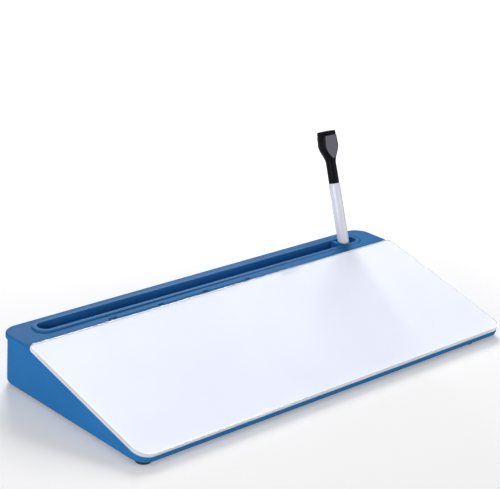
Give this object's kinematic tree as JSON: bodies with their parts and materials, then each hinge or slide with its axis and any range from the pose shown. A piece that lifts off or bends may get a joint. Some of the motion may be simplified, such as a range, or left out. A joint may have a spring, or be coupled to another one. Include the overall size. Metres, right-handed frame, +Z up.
{
  "type": "desktop glass whiteboard",
  "caption": "Sloped desktop whiteboard: a hinged glass writing lid over a divided storage tray, with a pen trough behind it and a marker leaning in a socket at the trough's end",
  "frame": {"origin": "on the desk, under the middle of the whole outline", "axes": "X across the board, Y from its front edge to the rear shelf, Z up"},
  "size_m": [0.38, 0.1897, 0.1322],
  "materials": {
    "tray plastic": "fine matte",
    "trough plastic": "fine matte",
    "hinge plastic": "fine matte",
    "glass": "polished",
    "backing": "opaque white",
    "tape": "adhesive film",
    "pin steel": "drawn",
    "foot rubber": "matte",
    "black plastic": "satin",
    "cap plastic": "satin",
    "white plastic": "satin",
    "reservoir fibre": "fibre",
    "nib felt": "felt",
    "eraser felt": "felt"
  },
  "bodies": {
    "tray": {"tray_body": "tray plastic", "pen_trough": "trough plastic", "foot_front_left": "foot rubber", "foot_front_right": "foot rubber", "foot_rear_left": "foot rubber", "foot_rear_right": "foot rubber"},
    "lid": {"glass_panel": "glass", "white_backing": "backing", "hinge_tape": "tape", "hinge_plate": "hinge plastic", "hinge_pin": "pin steel"},
    "marker": {"marker_barrel": "white plastic", "marker_tail_plug": "black plastic", "ink_reservoir": "reservoir fibre", "nib_section": "black plastic", "nib": "nib felt"},
    "cap": {"marker_cap": "cap plastic", "eraser_felt": "eraser felt"}
  },
  "joints": [
    {"name": "lid_hinge", "type": "hinge", "parent": "tray", "child": "lid", "pos_m": [-0.04015, 0.04101, 0.03966], "axis": [-1, 0, 0], "range_deg": [0, 115]},
    {"name": "marker_lift", "type": "slide", "parent": "tray", "child": "marker", "axis": [0, 0.3256, 0.9455], "range_m": [0, 0.04]},
    {"name": "cap_pull", "type": "slide", "parent": "marker", "child": "cap", "axis": [0, 0.3256, 0.9455], "range_m": [0, 0.03]}
  ]
}
